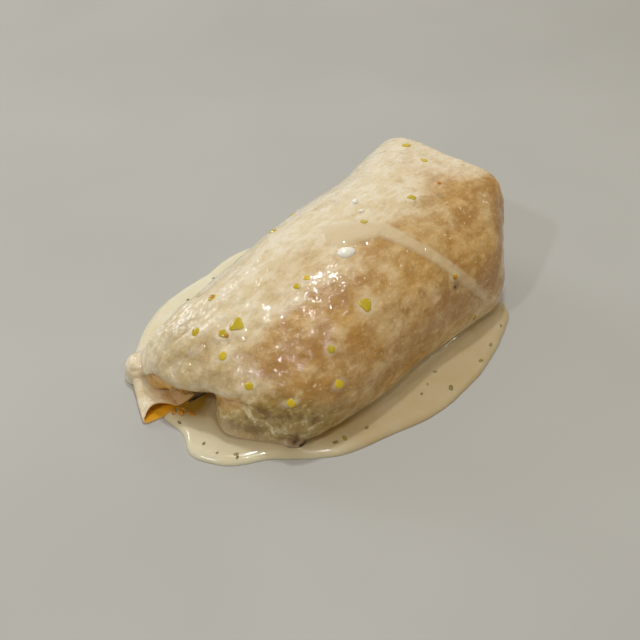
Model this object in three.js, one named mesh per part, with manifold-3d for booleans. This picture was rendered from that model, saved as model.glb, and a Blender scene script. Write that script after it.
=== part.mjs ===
// A burrito: a flour tortilla rolled round its filling, one end tucked in and
// the other left with an open fold, lying in two pools of its cream sauce.
// Units are millimetres. +X runs along the roll towards the tucked end, +Y is
// the back of the roll, +Z is up, and z = 0 is the surface that it lies on.

import * as THREE from "three";
import { mergeVertices } from "three/addons/utils/BufferGeometryUtils.js";
import Module from "manifold-3d";

const wasm = await Module();
wasm.setup();

// ---------------------------------------------------------------- sizes

const NEAR_END = -83; // x of the open end's face
const FAR_END = 76; // x of the tucked end's face
const NEAR_ROUND = 9; // rounding of the edge at the open end
const FAR_ROUND = 4; // rounding of the edge at the tucked end
const NEAR_BULGE = 2; // how far the open end's face swells
const FAR_BULGE = 1.5; // how far the tucked end's face swells
const NEAR_SKEW = -0.155; // the open end runs slantwise across the roll
const NEAR_DENT = 6; // the open end is set back where the fold opens
const DENT_Y = -10; // y of the middle of that dent
const DENT_WIDTH = 7;
const DENT_TOP = 24; // height at which the dent has faded out
const LIP_SWELL = { y: 3, z: 19, out: 3, width: 13, tall: 7 }; // the lip over the fold
const FAR_SKEW = -0.05; // the tucked end runs slantwise too
const FAR_LEAN = 0.04; // the tucked end leans out at the top
const FAR_LEAN_Z = 25; // height about which it leans
const NEAR_TURN = { from: 20, span: 60 }; // -x where the open end's slant sets in
const FAR_TURN = { from: 20, span: 50 }; // x where the tucked end's slant sets in
const FOOT_HEIGHT = 16; // height of the widest line round the roll
const FOOT_BOXY = 4; // squareness of the roll below that line
const FOOT_DROP = 1.15; // more than 1, so that the roll is cut flat underneath
const MIDDLE = 0.42; // height of a section's middle, as a share of its top
const RISE = 0.9; // how much of a lump's height goes upwards
const LUMPS = { slow: 0.35, quick: 0.25, near: 0.9 }; // heights of the soft lumps
const SHEET = 1.3; // thickness of the tortilla sheet
const GAP = 0.3; // clearance between the tortilla and the sauce
const POOL_DEPTH = 2.4; // depth of the sauce away from the roll
const POOL_RIM = 2.6; // width of the pool's rounded rim
const POOL_CLIMB = 2.6; // how far the sauce climbs where it meets the roll
const CLIMB_START = 10; // how far in from the shore that climb begins
const CLIMB_WIDTH = 14; // width of that climb
const POOL_BOTTOM = -1; // pools are drawn to this height, then cut flat at zero
const GROUND = { side: 400, depth: 20 }; // block that is cut away below zero

// Cross-sections along the roll: how far it reaches to the right (-Y) and to
// the left (+Y), its height, the y of its ridge, the squareness of its right
// and left shoulders, and how much its right side leans in towards the top.
const SECTIONS = [
  { x: -84, right: 23, left: 24, top: 17, ridge: 4, boxR: 2.4, boxL: 2.4, lean: 0 },
  { x: -76, right: 32, left: 28, top: 26, ridge: 2, boxR: 2.3, boxL: 2.5, lean: 0 },
  { x: -66, right: 44, left: 30, top: 34, ridge: 0, boxR: 2.2, boxL: 2.0, lean: 0 },
  { x: -50, right: 48, left: 32, top: 41, ridge: -3, boxR: 2.2, boxL: 2.0, lean: 0 },
  { x: -20, right: 49.5, left: 35.5, top: 49, ridge: -4, boxR: 2.2, boxL: 2.2, lean: 0 },
  { x: 10, right: 47, left: 39, top: 52.5, ridge: -4, boxR: 2.2, boxL: 2.3, lean: 0 },
  { x: 38, right: 47, left: 40, top: 53.5, ridge: -2, boxR: 2.3, boxL: 2.5, lean: 0.04 },
  { x: 54, right: 46, left: 42, top: 53, ridge: 0, boxR: 2.8, boxL: 3.3, lean: 0.2 },
  { x: 76, right: 29, left: 45, top: 51, ridge: 0, boxR: 7.0, boxL: 5.0, lean: 0.16 },
];

const HOLLOW_ARCH = 0.6; // power of the hollow's arch, 1 for a round one
const HOLLOW_BOTTOM = -2;

// The open fold at the near end: a hollow under the upper sheet, arched in
// section, from its mouth to its bottom.
const HOLLOW = [
  { x: -104, left: 6, right: -16, height: 16 },
  { x: -80, left: 6, right: -15, height: 15.5 },
  { x: -75, left: 5, right: -12.5, height: 14.5 },
  { x: -69, left: 4, right: -9.5, height: 12 },
  { x: -61, left: 1, right: -5, height: 6 },
];

// The flattened flap that lies along the open end: x of its fold, thickness
// at the fold, height where it runs in under the roll's lip, and x of its
// root, which is lost inside the roll except at its open end.
const FLAP = [
  { y: 5.5, fold: -95, thick: 2.4, lip: 5, root: -77, slant: -0.25 },
  { y: 13, fold: -92.6, thick: 3, lip: 7, root: -72, slant: -0.1 },
  { y: 21, fold: -89.4, thick: 4.5, lip: 9.5, root: -70, slant: 0 },
  { y: 29, fold: -85.6, thick: 6.5, lip: 11, root: -70, slant: 0 },
];
const FLAP_MIDDLE = -88; // x about which its open end slants
const FLAP_RISE = [[0.35, 0.2], [0.7, 0.55]]; // share of its width, share of its rise
const FLAP_TURN_STEPS = 6; // steps round its fold
const LEAST_RADIUS = 0.05; // of the slit's bottom, where the two layers meet
const SLIT = { mouth: 1, depth: 12, in: 6, lip: 5 }; // the opening between its layers

// Two rounded ends of tortilla: where the flap turns in at the back, and the
// porous nub at the near right corner.
const CORNER = { x: -77.5, y: 28.5, z: 4.5, alongX: 9, alongY: 8.5, alongZ: 7.5, turn: 0 };
const NUB = { x: -62, y: -41, z: 2.4, alongX: 4.6, alongY: 3, alongZ: 3.4, turn: -0.75 };

// The recess under the roll's lip: its section as x and z, and then the y and
// the drop of its roof at each place along it.
const LIP_X = -79; // x of the bottom of the recess
const LIP_Z = 8.5; // height of the lip's edge over the flap
const RECESS_SECTION = [
  [-104, -2], [-104, LIP_Z + 3], [-86, LIP_Z + 2], [-81, LIP_Z], [LIP_X, 4], [LIP_X, -2],
];
const RECESS_PLACES = [[30, 0], [20, 0], [0, 0], [-8, 1]];

// The outer shores of the two pools, each an open curve from end to end.
const FRONT_SHORE = [
  [-88, 5], [-88, -7], [-92, -18], [-85, -31], [-73, -38.5], [-67, -44], [-59, -51],
  [-49, -57], [-29, -62.5], [-10, -66.5], [10, -65.5], [28, -62], [46, -55.5], [58, -49],
  [62, -40], [56, -30],
];
const BACK_SHORE = [
  [-84, 24], [-86, 33], [-77, 41], [-64, 52], [-50, 60], [-35, 63.5], [-20, 64.5],
  [-8, 67.5], [8, 67], [24, 60], [38, 50], [46, 36],
];
const AXIS_NEAR = -62; // ends of the line under the roll that the pools meet
const AXIS_FAR = 40;

// Bits of green pepper on the roll: x along it, degrees round it from the
// left side (0) over the top (90) to the right side (180), and size.
const BITS = [
  [66, 76, 2.8], [60, 88, 2.4], [33, 98, 2.4], [7, 94, 2.2], [0, 46, 2.2], [-14, 50, 2.4],
  [-34, 100, 2.2], [-29, 100, 1.8], [-20, 131, 3.2], [-59, 96, 3.6], [-68, 81, 2.6],
  [-64, 95, 2.4], [-70, 104, 2.6], [-54, 64, 2.4], [-72, 131, 2.4], [-66, 155, 2.4],
  [-46, 162, 2.6], [-42, 139, 2.2], [24, 152, 1.8], [35, 186, 2],
];

// White drops of cream on top: x, degrees round, length, width and height.
const DROPS = [
  [15, 81, 3.2, 2.5, 1.4],
  [12, 88, 2.2, 1.8, 1],
  [-10, 102, 7.2, 5, 2.2],
];

// The ribbon of sauce that runs over the roll: x, degrees round, half width.
const RIBBON = [
  [-5, 92, 6.2], [3, 97, 6], [9, 103, 4.4], [13, 118, 3], [18, 131, 2.8], [23.5, 145, 2.6],
  [28.5, 157, 2.4], [34.5, 170, 2], [40, 178, 1.4],
];
const RIBBON_PITCH = 0.85; // millimetres round the roll for one degree
const RIBBON_HEIGHT = 0.7;
const RIBBON_EDGE = 4; // how steeply its edge falls

// Flecks of herb in the pools: x, y and size.
const FRONT_FLECKS = [
  [-85.8, -17.7, 1.8], [-80.6, -29.8, 2], [-81.2, -31.2, 1.8], [-86, -2.4, 2], [-85.1, -24.5, 1.4],
  [-50.5, -50.9, 2.4], [-46.6, -51.8, 2.6], [-36.9, -53.7, 2.2], [2.4, -61.9, 3],
  [23.7, -60.3, 2.6], [34.3, -57.1, 2.2], [47.3, -52.7, 1.8], [4.7, -51.8, 1.8],
  [-8.4, -56.2, 1.6], [-2.7, -54.3, 1.4],
];
const BACK_FLECKS = [[-38, 54, 1.8], [-20, 58, 2], [-6, 60, 2.2], [14, 56, 2]];

// A chip's spread of shape: least swell and its spread, least width and its
// spread, flatness, and the size from which it grows no thicker.
const CHIP = { swell: 0.8, swellSpread: 0.4, width: 0.6, widthSpread: 0.3, flat: 0.7, thickest: 2.2 };

// Fineness: steps round the roll, across an end's face, round its edge and
// along the roll; steps along each pool's shore, and places across a pool.
const AROUND = 56;
const FACE_STEPS = 4;
const EDGE_STEPS = 5;
const LONG_STEPS = 42;
const HOLLOW_STEPS = 14;
const FRONT_STEPS = 84;
const BACK_STEPS = 56;
const POOL_PLACES = [0, 0.25, 0.7, 1.5, POOL_RIM, 6, 10, 14, 18, 24, 32];
const BALL_STEPS = { corner: [20, 14], nub: [14, 10], drop: [12, 8] };
const UP = new THREE.Vector3(0, 0, 1);

// ---------------------------------------------------------- small tools

// A seeded random draw from 0 to 1, so that the part is the same every time.
const DRAW_FACTOR = 16807;
const DRAW_RANGE = 2147483647;
let seed = 7;
function draw() {
  seed = (seed * DRAW_FACTOR) % DRAW_RANGE;
  return seed / DRAW_RANGE;
}

// Smooth value of one named size at x, between the rows of a list.
function blend(rows, key, name, x) {
  const last = rows.length - 1;
  const slope = (i) => {
    const a = rows[Math.max(i - 1, 0)];
    const b = rows[Math.min(i + 1, last)];
    return (b[name] - a[name]) / (b[key] - a[key]);
  };
  const at = THREE.MathUtils.clamp(x, rows[0][key], rows[last][key]);
  let i = 0;
  while (i < last - 1 && at > rows[i + 1][key]) {
    i += 1;
  }
  const span = rows[i + 1][key] - rows[i][key];
  const t = (at - rows[i][key]) / span;
  const t2 = t * t;
  const t3 = t2 * t;
  return (2 * t3 - 3 * t2 + 1) * rows[i][name] + (t3 - 2 * t2 + t) * span * slope(i)
    + (3 * t2 - 2 * t3) * rows[i + 1][name] + (t3 - t2) * span * slope(i + 1);
}

// A closed body through rings of points, shut at both ends by a middle point.
function loft(rings) {
  const around = rings[0].length;
  const positions = rings.flat(2);
  for (const ring of [rings[0], rings[rings.length - 1]]) {
    for (const axis of [0, 1, 2]) {
      positions.push(ring.reduce((sum, point) => sum + point[axis], 0) / around);
    }
  }
  const start = rings.length * around;
  const lastRing = (rings.length - 1) * around;
  const index = [];
  for (let j = 0; j < around; j += 1) {
    const next = (j + 1) % around;
    for (let i = 0; i < rings.length - 1; i += 1) {
      const a = i * around;
      const b = a + around;
      index.push(a + j, a + next, b + next, a + j, b + next, b + j);
    }
    index.push(start, next, j, start + 1, lastRing + j, lastRing + next);
  }
  const geometry = new THREE.BufferGeometry();
  geometry.setAttribute("position", new THREE.Float32BufferAttribute(positions, 3));
  geometry.setIndex(index);
  return geometry;
}

// Signed volume of a closed geometry, negative if its faces point inwards.
function volumeOf(geometry) {
  const { array } = geometry.attributes.position;
  const corner = (k) => new THREE.Vector3().fromArray(array, 3 * geometry.index.array[k]);
  let volume = 0;
  for (let k = 0; k < geometry.index.count; k += 3) {
    volume += corner(k).dot(corner(k + 1).cross(corner(k + 2))) / 6;
  }
  return volume;
}

// A solid for joining and cutting, from a closed geometry.
function solid(geometry) {
  const bare = geometry.clone();
  bare.deleteAttribute("normal");
  bare.deleteAttribute("uv");
  const merged = mergeVertices(bare, 1e-4);
  if (volumeOf(merged) < 0) merged.index.array.reverse();
  return new wasm.Manifold(new wasm.Mesh({
    numProp: 3,
    vertProperties: new Float32Array(merged.attributes.position.array),
    triVerts: new Uint32Array(merged.index.array),
  }));
}

// The largest body of a solid, without loose scraps.
function largest(shape) {
  const bodies = shape.decompose();
  return bodies.reduce((best, body) => (body.volume() > best.volume() ? body : best));
}

function meshOf(name, shape, look) {
  const { vertProperties, triVerts } = shape.getMesh();
  const geometry = new THREE.BufferGeometry();
  geometry.setAttribute("position", new THREE.BufferAttribute(vertProperties, 3));
  geometry.setIndex(new THREE.BufferAttribute(triVerts, 1));
  const mesh = new THREE.Mesh(geometry, new THREE.MeshStandardMaterial(look));
  mesh.name = name;
  return mesh;
}

// -------------------------------------------------------------- the roll

// Height of the sauce ribbon over the sheet at a place on the roll.
function ribbonAt(x, degrees) {
  let height = 0;
  for (let i = 0; i < RIBBON.length - 1; i += 1) {
    const [x0, turn0, width0] = RIBBON[i];
    const [x1, turn1, width1] = RIBBON[i + 1];
    const along = new THREE.Vector2(x1 - x0, (turn1 - turn0) * RIBBON_PITCH);
    const here = new THREE.Vector2(x - x0, (degrees - turn0) * RIBBON_PITCH);
    const t = THREE.MathUtils.clamp(here.dot(along) / along.lengthSq(), 0, 1);
    const width = width0 + (width1 - width0) * t;
    const off = here.addScaledVector(along, -t).length() / width;
    height = Math.max(height, RIBBON_HEIGHT * Math.sqrt(Math.max(0, 1 - off ** RIBBON_EDGE)));
  }
  return height;
}

// Soft lumps where the filling presses through, largest at the open end.
function lumpsAt(x, degrees) {
  const turn = THREE.MathUtils.degToRad(degrees);
  const nearness = THREE.MathUtils.smoothstep(-x, 20, 75);
  const slow = Math.sin(x / 13 + 2 * turn) + Math.sin(x / 21 - 3 * turn + 1);
  const quick = Math.sin(x / 4.5 + 5 * turn) * Math.sin(x / 9 - 8 * turn + 2);
  return LUMPS.slow * slow + (LUMPS.quick + LUMPS.near * nearness) * quick;
}

// A point on the roll at x, and at an angle round it in degrees. The skin can
// be grown outwards, drawn in from the edge or shrunk to the section's middle.
function skin(x, degrees, grow = 0, inset = 0, shrink = 1) {
  const size = (name) => blend(SECTIONS, "x", name, x);
  const right = size("right");
  const left = size("left");
  const top = size("top");
  const ridge = size("ridge");
  const turn = THREE.MathUtils.degToRad(degrees);
  const c = Math.cos(turn);
  const s = Math.sin(turn);
  const over = s >= 0;
  const foot = Math.min(FOOT_HEIGHT, MIDDLE * top);
  const shoulder = c > 0 ? size("boxL") : size("boxR");
  const power = 2 / (over ? shoulder : FOOT_BOXY);
  const reach = c > 0 ? left - ridge : right + ridge;
  let y = ridge + reach * Math.sign(c) * Math.abs(c) ** power;
  let z = over
    ? foot + (top - foot) * Math.abs(s) ** power
    : foot * (1 - FOOT_DROP * Math.abs(s) ** power);
  const height = THREE.MathUtils.clamp((z - foot) / (top - foot), 0, 1);
  if (c < 0) y *= 1 - size("lean") * height;
  const midY = (left - right) / 2;
  const midZ = MIDDLE * top;
  const half = (left + right) / 2;
  const out = grow - inset + (over ? lumpsAt(x, degrees) + ribbonAt(x, degrees) : 0);
  y = midY + (y - midY) * (1 + out / half) * shrink;
  z = midZ + (z - midZ) * (1 + (RISE * out) / (top - midZ)) * shrink;
  const near = THREE.MathUtils.clamp((-x - NEAR_TURN.from) / NEAR_TURN.span, 0, 1) ** 2;
  const far = THREE.MathUtils.clamp((x - FAR_TURN.from) / FAR_TURN.span, 0, 1) ** 2;
  const low = 1 - THREE.MathUtils.smoothstep(z, DENT_TOP / 2, DENT_TOP);
  const dent = NEAR_DENT * near ** 2 * low * Math.exp(-(((y - DENT_Y) / DENT_WIDTH) ** 2));
  const lipY = (y - LIP_SWELL.y) / LIP_SWELL.width;
  const lipZ = (z - LIP_SWELL.z) / LIP_SWELL.tall;
  const lip = LIP_SWELL.out * near ** 2 * Math.exp(-(lipY ** 2) - lipZ ** 2);
  const farSlant = FAR_SKEW * y + FAR_LEAN * (z - FAR_LEAN_Z);
  const slant = near * NEAR_SKEW * y + dent - lip + far * farSlant;
  return [x + slant, y, Math.max(z, -grow)];
}

// The rolled tortilla: two faces, two rounded edges and the long side between.
function roll(grow = 0) {
  const rings = [];
  const ring = (x, at, inset, shrink) => {
    const points = [];
    for (let j = 0; j < AROUND; j += 1) {
      const point = skin(at, (360 * j) / AROUND, grow, inset, shrink);
      points.push([point[0] + x - at, point[1], point[2]]);
    }
    rings.push(points);
  };
  for (let k = 1; k <= FACE_STEPS; k += 1) {
    const shrink = k / (FACE_STEPS + 1);
    ring(NEAR_END - grow - NEAR_BULGE * (1 - shrink ** 2), NEAR_END, NEAR_ROUND, shrink);
  }
  for (let k = 0; k <= EDGE_STEPS; k += 1) {
    const angle = (Math.PI / 2) * (1 - k / EDGE_STEPS);
    const x = NEAR_END + NEAR_ROUND * (1 - Math.sin(angle));
    ring(x - grow, x, NEAR_ROUND * (1 - Math.cos(angle)), 1);
  }
  const from = NEAR_END + NEAR_ROUND;
  const to = FAR_END - FAR_ROUND;
  for (let k = 1; k < LONG_STEPS; k += 1) {
    const x = from + ((to - from) * k) / LONG_STEPS;
    ring(x, x, 0, 1);
  }
  for (let k = 0; k <= EDGE_STEPS; k += 1) {
    const angle = (Math.PI / 2) * (k / EDGE_STEPS);
    const x = to + FAR_ROUND * Math.sin(angle);
    ring(x + grow, x, FAR_ROUND * (1 - Math.cos(angle)), 1);
  }
  for (let k = FACE_STEPS; k >= 1; k -= 1) {
    const shrink = k / (FACE_STEPS + 1);
    ring(FAR_END + grow + FAR_BULGE * (1 - shrink ** 2), FAR_END, FAR_ROUND, shrink);
  }
  return solid(loft(rings));
}

// The arched hollow of the open fold, as a body to cut away.
function hollow(grow = 0) {
  return solid(loft(HOLLOW.map((row) => {
    const points = [];
    const middle = (row.left + row.right) / 2;
    const half = (row.left - row.right) / 2 + grow;
    const tall = row.height + grow - HOLLOW_BOTTOM;
    for (let k = 0; k <= HOLLOW_STEPS; k += 1) {
      const angle = (Math.PI * k) / HOLLOW_STEPS;
      const across = Math.sign(Math.cos(angle)) * Math.abs(Math.cos(angle)) ** HOLLOW_ARCH;
      const rise = Math.sin(angle) ** HOLLOW_ARCH;
      points.push([row.x + grow, middle + half * across, HOLLOW_BOTTOM + tall * rise]);
    }
    return points;
  })));
}

// The recess under the roll's lip, into which the flap runs.
function recess() {
  const ringAt = ([y, lower]) => RECESS_SECTION.map(([x, z]) => [x, y, z > 0 ? z - lower : z]);
  return solid(loft(RECESS_PLACES.map(ringAt)));
}

// One section of the flap, in the plane across its length.
function flapSection(row, inside = 0) {
  const { y, fold, thick, lip, root, slant } = row;
  const radius = Math.max(thick / 2 - inside, LEAST_RADIUS);
  const centre = fold + thick / 2;
  const profile = [[root, inside]];
  for (let k = 0; k <= FLAP_TURN_STEPS; k += 1) {
    const angle = -Math.PI / 2 - (Math.PI * k) / FLAP_TURN_STEPS;
    profile.push([centre + radius * Math.cos(angle), thick / 2 + radius * Math.sin(angle)]);
  }
  for (const [across, up] of FLAP_RISE) {
    profile.push([centre + across * (LIP_X - centre), thick - inside + up * (lip - thick)]);
  }
  profile.push([LIP_X, lip - inside]);
  profile.push([root, lip - inside]);
  return profile.map(([x, z]) => [x, y + slant * (Math.min(x, LIP_X) - FLAP_MIDDLE), z]);
}

// The flap's outer form, without the slit at its open end.
function flap(grow = 0) {
  const rows = FLAP.map((row, i) => ({
    ...row,
    y: row.y + (i === 0 ? -grow : grow),
    fold: row.fold - grow,
    thick: row.thick + grow,
    lip: row.lip + grow,
    root: row.root + grow,
  }));
  return solid(loft(rows.map((row) => flapSection(row))));
}

// The slit between the flap's two layers, open towards the right.
function slit() {
  const [first, second] = FLAP;
  const mouth = { ...first, y: first.y - SLIT.mouth };
  const inner = { ...second, y: first.y + SLIT.depth, fold: second.fold + SLIT.in, lip: SLIT.lip };
  return solid(loft([flapSection(mouth, SHEET), flapSection(inner, SHEET)]));
}

// ---------------------------------------------------------------- bits

// The place and the outward direction of a spot on the roll.
function spot(x, degrees) {
  const at = new THREE.Vector3(...skin(x, degrees));
  const along = new THREE.Vector3(...skin(x + 1, degrees)).sub(at);
  const across = new THREE.Vector3(...skin(x, degrees + 1)).sub(at);
  return { at, out: across.cross(along).normalize().negate() };
}

// An uneven chip, set half into the surface that it lies on.
function chip(at, out, size) {
  const geometry = new THREE.IcosahedronGeometry(0.5, 0);
  const merged = mergeVertices(geometry.deleteAttribute("uv").deleteAttribute("normal"), 1e-4);
  const { position } = merged.attributes;
  for (let k = 0; k < position.count; k += 1) {
    const swell = CHIP.swell + CHIP.swellSpread * draw();
    position.setXYZ(k, position.getX(k) * swell, position.getY(k) * swell, position.getZ(k) * swell);
  }
  const width = size * (CHIP.width + CHIP.widthSpread * draw());
  merged.scale(size, width, Math.min(size, CHIP.thickest) * CHIP.flat);
  merged.rotateZ(draw() * Math.PI);
  merged.applyQuaternion(new THREE.Quaternion().setFromUnitVectors(UP, out));
  merged.translate(at.x, at.y, at.z);
  return solid(merged);
}

// A drop of cream, a flattened ball set half into the roll.
function drop([x, degrees, length, width, height]) {
  const { at, out } = spot(x, degrees);
  const ball = new THREE.SphereGeometry(0.5, ...BALL_STEPS.drop);
  ball.scale(length, width, 2 * height);
  ball.applyQuaternion(new THREE.Quaternion().setFromUnitVectors(UP, out));
  ball.translate(at.x, at.y, at.z);
  return solid(ball);
}

// A rounded end of tortilla, an oval ball turned about the upright.
function ball(size, steps, grow) {
  const geometry = new THREE.SphereGeometry(1, ...steps);
  geometry.scale(size.alongX + grow, size.alongY + grow, size.alongZ + grow);
  geometry.rotateZ(size.turn);
  geometry.translate(size.x, size.y, size.z);
  return solid(geometry);
}

function nub(grow = 0) {
  return ball(NUB, BALL_STEPS.nub, grow);
}

function corner(grow = 0) {
  return ball(CORNER, BALL_STEPS.corner, grow);
}

// ---------------------------------------------------------------- pools

// A pool from its outer shore to the line under the roll: a rounded rim, a
// level middle, and a rise where the sauce climbs the roll.
function pool(shore, steps) {
  const curve = new THREE.CatmullRomCurve3(shore.map(([x, y]) => new THREE.Vector3(x, y, 0)));
  const rings = [];
  for (let k = 0; k <= steps; k += 1) {
    const edge = curve.getPoint(k / steps);
    const inner = new THREE.Vector3(THREE.MathUtils.clamp(edge.x, AXIS_NEAR, AXIS_FAR), 0, 0);
    const inward = inner.sub(edge);
    const reach = inward.length();
    inward.normalize();
    const top = [];
    const bottom = [];
    for (const mm of POOL_PLACES) {
      const off = Math.min(mm, reach);
      const rim = Math.min(off / POOL_RIM, 1);
      const bank = THREE.MathUtils.clamp((off - CLIMB_START) / CLIMB_WIDTH, 0, 1);
      const z = POOL_DEPTH * Math.sqrt(rim * (2 - rim)) + POOL_CLIMB * bank ** 2;
      top.push([edge.x + inward.x * off, edge.y + inward.y * off, z]);
      bottom.unshift([edge.x + inward.x * off, edge.y + inward.y * off, POOL_BOTTOM]);
    }
    rings.push([...top, ...bottom]);
  }
  return loft(rings);
}

// A fleck of herb set half into a pool's level top.
function fleck([x, y, size]) {
  return chip(new THREE.Vector3(x, y, POOL_DEPTH), UP, size);
}

// The block below the surface that the burrito lies on, as a body to cut away.
function ground() {
  const block = new THREE.BoxGeometry(GROUND.side, GROUND.side, GROUND.depth);
  block.translate(0, 0, -GROUND.depth / 2);
  return solid(block);
}

// A pool cut flat underneath, clear of the tortilla, with its flecks.
function sauce(shore, steps, keepOut, flecks) {
  let shape = largest(solid(pool(shore, steps)).subtract(ground()).subtract(keepOut));
  for (const row of flecks) shape = shape.add(fleck(row));
  return shape;
}

// -------------------------------------------------------------- assembly

function tortilla() {
  let shape = roll().subtract(hollow()).subtract(recess());
  shape = shape.add(flap()).add(corner()).add(nub()).subtract(slit());
  shape = largest(shape.subtract(ground()));
  for (const row of DROPS) shape = shape.add(drop(row));
  for (const [x, degrees, size] of BITS) {
    const { at, out } = spot(x, degrees);
    shape = shape.add(chip(at, out, size));
  }
  return shape;
}

const clearOfTortilla = roll(GAP).subtract(hollow(-GAP)).add(flap(GAP)).add(corner(GAP)).add(nub(GAP));
const wrap = tortilla();
const front = sauce(FRONT_SHORE, FRONT_STEPS, clearOfTortilla, FRONT_FLECKS);
const back = sauce(BACK_SHORE, BACK_STEPS, clearOfTortilla, BACK_FLECKS);

const burrito = new THREE.Group();
burrito.add(meshOf("tortilla", wrap, { color: 0xe3c08a, roughness: 0.35, metalness: 0 }));
burrito.add(meshOf("sauce_pool_front", front, { color: 0xe9dcb4, roughness: 0.25, metalness: 0 }));
burrito.add(meshOf("sauce_pool_back", back, { color: 0xe9dcb4, roughness: 0.25, metalness: 0 }));

// The origin is under the middle of the whole, on the surface it lies on.
const bounds = new THREE.Box3().setFromObject(burrito);
const middle = bounds.getCenter(new THREE.Vector3());
burrito.position.set(-middle.x, -middle.y, -bounds.min.z);

export default burrito;
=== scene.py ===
import math

import bmesh
import bpy
import numpy as np
from mathutils import Matrix, Vector, noise
from mathutils.bvhtree import BVHTree


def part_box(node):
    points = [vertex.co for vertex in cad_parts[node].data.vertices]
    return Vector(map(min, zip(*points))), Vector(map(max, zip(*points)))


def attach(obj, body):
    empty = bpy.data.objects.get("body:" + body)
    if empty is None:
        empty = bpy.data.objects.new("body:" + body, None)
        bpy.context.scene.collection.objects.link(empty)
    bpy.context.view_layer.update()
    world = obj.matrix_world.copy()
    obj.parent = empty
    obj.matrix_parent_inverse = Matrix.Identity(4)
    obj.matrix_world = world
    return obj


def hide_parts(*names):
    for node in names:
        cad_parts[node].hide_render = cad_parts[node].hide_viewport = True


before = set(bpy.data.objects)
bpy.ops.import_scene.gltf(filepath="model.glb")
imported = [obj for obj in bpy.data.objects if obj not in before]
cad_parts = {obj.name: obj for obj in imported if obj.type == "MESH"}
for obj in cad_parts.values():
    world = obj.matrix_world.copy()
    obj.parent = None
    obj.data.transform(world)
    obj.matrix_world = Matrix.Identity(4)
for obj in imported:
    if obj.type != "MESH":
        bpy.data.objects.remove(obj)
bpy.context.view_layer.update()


# ---- sizes
# All about the food is in millimetres in the roll's own frame, as in the part's
# source, and goes to metres in the part's frame by place().

MM = 0.001
FOLD_X = -95.0  # x of the flap's fold, the tortilla's lowest x
SHIFT_Y = -0.615  # y of the roll's own frame in the part's frame
SHIFT = np.array([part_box("tortilla")[0][0] / MM - FOLD_X, SHIFT_Y, 0.0])

NEAR_END, FAR_END = -83.0, 76.0  # x of the roll's end faces
NEAR_ROUND, FAR_ROUND = 9.0, 4.0  # radius of the edge round each face
NEAR_BULGE, FAR_BULGE = 2.0, 1.5  # how far each face swells out
NEAR_SKEW, FAR_SKEW = -0.155, -0.05  # slope of each face across the roll
FAR_LEAN, FAR_LEVEL = 0.04, 25.0  # slope of the far face upwards, and its level
BEND_START, NEAR_BEND, FAR_BEND = 20.0, 60.0, 50.0  # where the slopes begin, and their lengths
DENT, DENT_Y, DENT_WIDTH, DENT_TOP = 6.0, -10.0, 7.0, 24.0  # the hollow in the near face
LIP = {"y": 3, "z": 19, "out": 3, "width": 13, "tall": 7}  # the swell over the open fold
LIP_X, LIP_Z = -79.0, 8.5  # where the lip's underside ends over the flap
WAIST = 0.42  # height of the widest level, as a share of the top
FOOT_HEIGHT, FOOT_BOXY = 16.0, 4.0  # the widest level at most, and how square the foot is
FOOT_SINK = 1.15  # the foot's curve goes on under the floor and is cut flat
EDGE_TALL = 0.9  # height of the ends' round edges as a share of their width
BELOW = 2.0  # how far the cutters reach under the floor
FLAP_SHEET = 0.9  # thickness of the flap's sheet
FLAP_BACK = 4.2  # how far the flap's upper layer is set back at its open end
FLAP_ROOT_X = -74.0  # where the flap's upper layer goes into the roll
FLAP_SLANT_X = -88.0  # where the flap's slant moves nothing
FLAP_GAPE = 2.2  # how much the flap's layers stand apart at its open end
FLAP_LOWER, FLAP_TURN, FLAP_UPPER = 30, 20, 50  # steps under the fold, round it and over it

# Sections of the roll: x, reach to the right and the left, top, y of the ridge, squareness
# of the right and the left side, and how far the right side leans in.
SECTIONS = np.array([
    [-84, 23, 24, 17, 4, 2.4, 2.4, 0],
    [-76, 32, 28, 26, 2, 2.3, 2.5, 0],
    [-66, 44, 30, 34, 0, 2.2, 2.0, 0],
    [-50, 48, 32, 41, -3, 2.2, 2.0, 0],
    [-20, 49.5, 35.5, 49, -4, 2.2, 2.2, 0],
    [10, 47, 39, 52.5, -4, 2.2, 2.3, 0],
    [38, 47, 40, 53.5, -2, 2.3, 2.5, 0.04],
    [54, 46, 42, 53, 0, 2.8, 3.3, 0.2],
    [76, 29, 45, 51, 0, 7.0, 5.0, 0.16],
])

# The hollow under the lip: x, left, right, height.
HOLLOW = [(-104, 6, -16, 16), (-80, 6, -15, 15.5), (-75, 5, -12.5, 14.5), (-69, 4, -9.5, 12), (-61, 1, -5, 6)]
HOLLOW_BOXY = 0.6

# The recess that the flap lies in: x and z round it, and its steps across.
RECESS = [
    (-104, -BELOW), (-104, LIP_Z + 3), (-86, LIP_Z + 2), (-81, LIP_Z), (LIP_X, 4), (LIP_X, -BELOW),
]
RECESS_ACROSS = (30, 20, 0, -8)

# Lumps joined to the roll: the middle, the radii and a turn in radians.
CORNER_LUMP = ((-77.5, 28.5, 4.5), (9, 8.5, 7.5), 0.0)
NUB_LUMP = ((-62, -41, 2.4), (4.6, 3, 3.4), -0.75)

# Round places with marks of their own: the middle and the size.
CORNER, CORNER_SIZE = np.array([-80.0, 25.0, 11.0]), 9.0
NUB, NUB_SIZE = np.array([-62.0, -42.5, 3.0]), 5.5  # the browned, porous nub
GLOB, GLOB_SIZE = np.array([-83.5, 33.0, 7.0]), 5.0  # sauce lying over the corner
GLOB_SHAPE = (1, 1, 1.3)

# The flap: y, x of its fold, thickness, height at the lip, x of its root, slant.
FLAP = np.array([
    [5.5, -95, 2.4, 5, -77, -0.25],
    [13, -92.6, 3, 7, -72, -0.1],
    [21, -89.4, 4.5, 9.5, -70, 0],
    [29, -85.6, 6.5, 11, -70, 0],
])

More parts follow.
